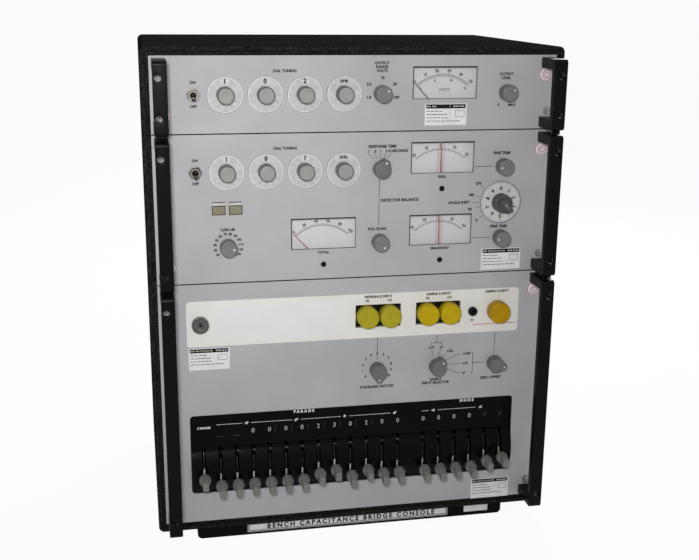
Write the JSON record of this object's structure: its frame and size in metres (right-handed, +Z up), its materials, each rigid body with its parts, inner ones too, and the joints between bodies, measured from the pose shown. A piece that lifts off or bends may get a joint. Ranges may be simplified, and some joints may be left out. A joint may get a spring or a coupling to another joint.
{
  "type": "capacitance bridge",
  "caption": "Bench capacitance-measuring console: oscillator, detector and lever-set bridge panels with dials, knobs and meters in a black cabinet.",
  "frame": {"origin": "middle of the underside of the foot bars, below the middle of the whole depth", "axes": "+Z up, the panels face -Y, +X to the right as seen from the front"},
  "size_m": [0.5016, 0.381, 0.6159],
  "materials": {
    "cabinet_black": "fine black wrinkle paint, satin",
    "foot_black": "black paint, satin, scuffed below",
    "panel_grey": "light grey enamel with a fine eggshell texture",
    "handle_black": "satin black enamel worn at the edges",
    "screw_steel": "plated steel, brushed",
    "meter_black": "black moulded plastic",
    "clear_window": "clear and frosted acrylic",
    "strip_cream": "cream enamel",
    "terminal_black": "black moulded plastic with plated contacts",
    "cap_yellow": "soft yellow vinyl",
    "housing_black": "black paint, satin",
    "chassis_alloy": "bare sheet alloy",
    "lever_grey": "grey moulded plastic on a steel stem",
    "toggle_steel": "bright plated",
    "needle_dark": "dark painted",
    "dial_white": "white moulded plastic with a grey knob",
    "knob_grey": "mid-grey moulded plastic"
  },
  "bodies": {
    "console": {"cabinet_shell": "cabinet_black", "rear_cover": "cabinet_black", "foot_bars": "foot_black", "oscillator_panel": "panel_grey", "detector_panel": "panel_grey", "bridge_panel": "panel_grey", "rack_handles": "handle_black", "panel_screws": "screw_steel", "meter_cases": "meter_black", "window_panes": "clear_window", "terminal_strip": "strip_cream", "coaxial_terminals": "terminal_black", "dust_caps": "cap_yellow", "lever_housing": "housing_black", "instrument_chassis": "chassis_alloy"},
    "range_lever": {"range_lever": "lever_grey"},
    "capacitance_lever_1": {"capacitance_lever_1": "lever_grey"},
    "capacitance_lever_2": {"capacitance_lever_2": "lever_grey"},
    "capacitance_lever_3": {"capacitance_lever_3": "lever_grey"},
    "capacitance_lever_4": {"capacitance_lever_4": "lever_grey"},
    "capacitance_lever_5": {"capacitance_lever_5": "lever_grey"},
    "capacitance_lever_6": {"capacitance_lever_6": "lever_grey"},
    "capacitance_lever_7": {"capacitance_lever_7": "lever_grey"},
    "capacitance_lever_8": {"capacitance_lever_8": "lever_grey"},
    "capacitance_lever_9": {"capacitance_lever_9": "lever_grey"},
    "capacitance_lever_10": {"capacitance_lever_10": "lever_grey"},
    "capacitance_lever_11": {"capacitance_lever_11": "lever_grey"},
    "capacitance_lever_12": {"capacitance_lever_12": "lever_grey"},
    "conductance_lever_1": {"conductance_lever_1": "lever_grey"},
    "conductance_lever_2": {"conductance_lever_2": "lever_grey"},
    "conductance_lever_3": {"conductance_lever_3": "lever_grey"},
    "conductance_lever_4": {"conductance_lever_4": "lever_grey"},
    "conductance_lever_5": {"conductance_lever_5": "lever_grey"},
    "conductance_lever_6": {"conductance_lever_6": "lever_grey"},
    "oscillator_toggle": {"oscillator_toggle": "toggle_steel"},
    "detector_toggle": {"detector_toggle": "toggle_steel"},
    "oscillator_dial_1": {"oscillator_dial_1": "dial_white"},
    "oscillator_dial_2": {"oscillator_dial_2": "dial_white"},
    "oscillator_dial_3": {"oscillator_dial_3": "dial_white"},
    "oscillator_dial_4": {"oscillator_dial_4": "dial_white"},
    "detector_dial_1": {"detector_dial_1": "dial_white"},
    "detector_dial_2": {"detector_dial_2": "dial_white"},
    "detector_dial_3": {"detector_dial_3": "dial_white"},
    "detector_dial_4": {"detector_dial_4": "dial_white"},
    "output_range_knob": {"output_range_knob": "knob_grey"},
    "output_level_knob": {"output_level_knob": "knob_grey"},
    "gain_knob": {"gain_knob": "knob_grey"},
    "time_constant_knob": {"time_constant_knob": "knob_grey"},
    "sensitivity_knob": {"sensitivity_knob": "knob_grey"},
    "in_phase_knob": {"in_phase_knob": "knob_grey"},
    "quadrature_knob": {"quadrature_knob": "knob_grey"},
    "multiplier_knob": {"multiplier_knob": "knob_grey"},
    "terminal_knob": {"terminal_knob": "knob_grey"},
    "zero_knob": {"zero_knob": "knob_grey"},
    "phase_dial": {"phase_dial": "dial_white"},
    "phase_knob": {"phase_knob": "knob_grey"},
    "level_needle": {"level_needle": "needle_dark"},
    "magnitude_needle": {"magnitude_needle": "needle_dark"},
    "in_phase_needle": {"in_phase_needle": "needle_dark"},
    "quadrature_needle": {"quadrature_needle": "needle_dark"}
  },
  "joints": [
    {"name": "range_lever_turn", "type": "hinge", "parent": "console", "child": "range_lever", "pos_m": [-0.1925, -0.092, 0.09742], "axis": [-1, 0, 0], "range_deg": [-11.2, 19.6]},
    {"name": "capacitance_lever_1_turn", "type": "hinge", "parent": "console", "child": "capacitance_lever_1", "pos_m": [-0.17186, -0.092, 0.09742], "axis": [-1, 0, 0], "range_deg": [-2.8, 28]},
    {"name": "capacitance_lever_2_turn", "type": "hinge", "parent": "console", "child": "capacitance_lever_2", "pos_m": [-0.15122, -0.092, 0.09742], "axis": [-1, 0, 0], "range_deg": [-2.8, 28]},
    {"name": "capacitance_lever_3_turn", "type": "hinge", "parent": "console", "child": "capacitance_lever_3", "pos_m": [-0.13059, -0.092, 0.09742], "axis": [-1, 0, 0], "range_deg": [-2.8, 28]},
    {"name": "capacitance_lever_4_turn", "type": "hinge", "parent": "console", "child": "capacitance_lever_4", "pos_m": [-0.10995, -0.092, 0.09742], "axis": [-1, 0, 0], "range_deg": [-2.8, 28]},
    {"name": "capacitance_lever_5_turn", "type": "hinge", "parent": "console", "child": "capacitance_lever_5", "pos_m": [-0.08931, -0.092, 0.09742], "axis": [-1, 0, 0], "range_deg": [-2.8, 28]},
    {"name": "capacitance_lever_6_turn", "type": "hinge", "parent": "console", "child": "capacitance_lever_6", "pos_m": [-0.06867, -0.092, 0.09742], "axis": [-1, 0, 0], "range_deg": [-2.8, 28]},
    {"name": "capacitance_lever_7_turn", "type": "hinge", "parent": "console", "child": "capacitance_lever_7", "pos_m": [-0.04804, -0.092, 0.09742], "axis": [-1, 0, 0], "range_deg": [-8.4, 22.4]},
    {"name": "capacitance_lever_8_turn", "type": "hinge", "parent": "console", "child": "capacitance_lever_8", "pos_m": [-0.0274, -0.092, 0.09742], "axis": [-1, 0, 0], "range_deg": [-11.2, 19.6]},
    {"name": "capacitance_lever_9_turn", "type": "hinge", "parent": "console", "child": "capacitance_lever_9", "pos_m": [-0.00676, -0.092, 0.09742], "axis": [-1, 0, 0], "range_deg": [-2.8, 28]},
    {"name": "capacitance_lever_10_turn", "type": "hinge", "parent": "console", "child": "capacitance_lever_10", "pos_m": [0.01388, -0.092, 0.09742], "axis": [-1, 0, 0], "range_deg": [-8.4, 22.4]},
    {"name": "capacitance_lever_11_turn", "type": "hinge", "parent": "console", "child": "capacitance_lever_11", "pos_m": [0.03451, -0.092, 0.09742], "axis": [-1, 0, 0], "range_deg": [-2.8, 28]},
    {"name": "capacitance_lever_12_turn", "type": "hinge", "parent": "console", "child": "capacitance_lever_12", "pos_m": [0.05515, -0.092, 0.09742], "axis": [-1, 0, 0], "range_deg": [-2.8, 28]},
    {"name": "conductance_lever_1_turn", "type": "hinge", "parent": "console", "child": "conductance_lever_1", "pos_m": [0.0889, -0.092, 0.09742], "axis": [-1, 0, 0], "range_deg": [-2.8, 28]},
    {"name": "conductance_lever_2_turn", "type": "hinge", "parent": "console", "child": "conductance_lever_2", "pos_m": [0.10954, -0.092, 0.09742], "axis": [-1, 0, 0], "range_deg": [-2.8, 28]},
    {"name": "conductance_lever_3_turn", "type": "hinge", "parent": "console", "child": "conductance_lever_3", "pos_m": [0.13018, -0.092, 0.09742], "axis": [-1, 0, 0], "range_deg": [-2.8, 28]},
    {"name": "conductance_lever_4_turn", "type": "hinge", "parent": "console", "child": "conductance_lever_4", "pos_m": [0.15081, -0.092, 0.09742], "axis": [-1, 0, 0], "range_deg": [-2.8, 28]},
    {"name": "conductance_lever_5_turn", "type": "hinge", "parent": "console", "child": "conductance_lever_5", "pos_m": [0.17145, -0.092, 0.09742], "axis": [-1, 0, 0], "range_deg": [-8.4, 22.4]},
    {"name": "conductance_lever_6_turn", "type": "hinge", "parent": "console", "child": "conductance_lever_6", "pos_m": [0.19209, -0.092, 0.09742], "axis": [-1, 0, 0], "range_deg": [-11.2, 19.6]},
    {"name": "oscillator_toggle_turn", "type": "hinge", "parent": "console", "child": "oscillator_toggle", "pos_m": [-0.193, -0.1485, 0.56198], "axis": [-1, 0, 0], "range_deg": [0, 34]},
    {"name": "detector_toggle_turn", "type": "hinge", "parent": "console", "child": "detector_toggle", "pos_m": [-0.193, -0.1485, 0.47308], "axis": [-1, 0, 0], "range_deg": [0, 34]},
    {"name": "oscillator_dial_1_turn", "type": "hinge", "parent": "console", "child": "oscillator_dial_1", "pos_m": [-0.157, -0.146, 0.56198], "axis": [0, 1, 0], "range_deg": [-30, 270]},
    {"name": "oscillator_dial_2_turn", "type": "hinge", "parent": "console", "child": "oscillator_dial_2", "pos_m": [-0.111, -0.146, 0.56198], "axis": [0, 1, 0], "range_deg": [0, 300]},
    {"name": "oscillator_dial_3_turn", "type": "hinge", "parent": "console", "child": "oscillator_dial_3", "pos_m": [-0.065, -0.146, 0.56198], "axis": [0, 1, 0], "range_deg": [-60, 240]},
    {"name": "oscillator_dial_4_turn", "type": "hinge", "parent": "console", "child": "oscillator_dial_4", "pos_m": [-0.019, -0.146, 0.56198], "axis": [0, 1, 0], "range_deg": [-60, 60]},
    {"name": "detector_dial_1_turn", "type": "hinge", "parent": "console", "child": "detector_dial_1", "pos_m": [-0.157, -0.146, 0.47308], "axis": [0, 1, 0], "range_deg": [-30, 270]},
    {"name": "detector_dial_2_turn", "type": "hinge", "parent": "console", "child": "detector_dial_2", "pos_m": [-0.111, -0.146, 0.47308], "axis": [0, 1, 0], "range_deg": [0, 300]},
    {"name": "detector_dial_3_turn", "type": "hinge", "parent": "console", "child": "detector_dial_3", "pos_m": [-0.065, -0.146, 0.47308], "axis": [0, 1, 0], "range_deg": [-30, 270]},
    {"name": "detector_dial_4_turn", "type": "hinge", "parent": "console", "child": "detector_dial_4", "pos_m": [-0.019, -0.146, 0.47308], "axis": [0, 1, 0], "range_deg": [-60, 60]},
    {"name": "output_range_knob_turn", "type": "hinge", "parent": "console", "child": "output_range_knob", "pos_m": [0.0265, -0.146, 0.56198], "axis": [0, 1, 0], "range_deg": [-156, 52]},
    {"name": "output_level_knob_turn", "type": "hinge", "parent": "console", "child": "output_level_knob", "pos_m": [0.18, -0.146, 0.56198], "axis": [0, 1, 0], "range_deg": [-204, 96]},
    {"name": "gain_knob_turn", "type": "hinge", "parent": "console", "child": "gain_knob", "pos_m": [-0.157, -0.146, 0.38417], "axis": [0, 1, 0], "range_deg": [-246, 54]},
    {"name": "time_constant_knob_turn", "type": "hinge", "parent": "console", "child": "time_constant_knob", "pos_m": [0.0265, -0.146, 0.47308], "axis": [0, 1, 0], "range_deg": [-75, 25]},
    {"name": "sensitivity_knob_turn", "type": "hinge", "parent": "console", "child": "sensitivity_knob", "pos_m": [0.0265, -0.146, 0.38417], "axis": [0, 1, 0], "range_deg": [-295, 5]},
    {"name": "in_phase_knob_turn", "type": "hinge", "parent": "console", "child": "in_phase_knob", "pos_m": [0.18, -0.146, 0.47308], "axis": [0, 1, 0], "range_deg": [-60, 240]},
    {"name": "quadrature_knob_turn", "type": "hinge", "parent": "console", "child": "quadrature_knob", "pos_m": [0.18, -0.146, 0.38417], "axis": [0, 1, 0], "range_deg": [-60, 240]},
    {"name": "multiplier_knob_turn", "type": "hinge", "parent": "console", "child": "multiplier_knob", "pos_m": [0.0265, -0.146, 0.21923], "axis": [0, 1, 0], "range_deg": [-150, 150]},
    {"name": "terminal_knob_turn", "type": "hinge", "parent": "console", "child": "terminal_knob", "pos_m": [0.1034, -0.146, 0.21923], "axis": [0, 1, 0], "range_deg": [-120, 60]},
    {"name": "zero_knob_turn", "type": "hinge", "parent": "console", "child": "zero_knob", "pos_m": [0.18, -0.146, 0.21923], "axis": [0, 1, 0], "range_deg": [-254, 46]},
    {"name": "phase_dial_turn", "type": "hinge", "parent": "console", "child": "phase_dial", "pos_m": [0.178, -0.146, 0.42862], "axis": [0, 1, 0], "range_deg": [-150, 150]},
    {"name": "phase_knob_turn", "type": "hinge", "parent": "console", "child": "phase_knob", "pos_m": [0.178, -0.146, 0.42862], "axis": [0, 1, 0], "range_deg": [-60, 30]},
    {"name": "level_needle_turn", "type": "hinge", "parent": "console", "child": "level_needle", "pos_m": [0.1034, -0.13924, 0.53597], "axis": [0, 1, 0], "range_deg": [0, 88]},
    {"name": "magnitude_needle_turn", "type": "hinge", "parent": "console", "child": "magnitude_needle", "pos_m": [-0.0422, -0.13924, 0.35818], "axis": [0, 1, 0], "range_deg": [0, 88]},
    {"name": "in_phase_needle_turn", "type": "hinge", "parent": "console", "child": "in_phase_needle", "pos_m": [0.1034, -0.13924, 0.44708], "axis": [0, 1, 0], "range_deg": [-42, 42]},
    {"name": "quadrature_needle_turn", "type": "hinge", "parent": "console", "child": "quadrature_needle", "pos_m": [0.1034, -0.13924, 0.35818], "axis": [0, 1, 0], "range_deg": [-42, 42]}
  ]
}
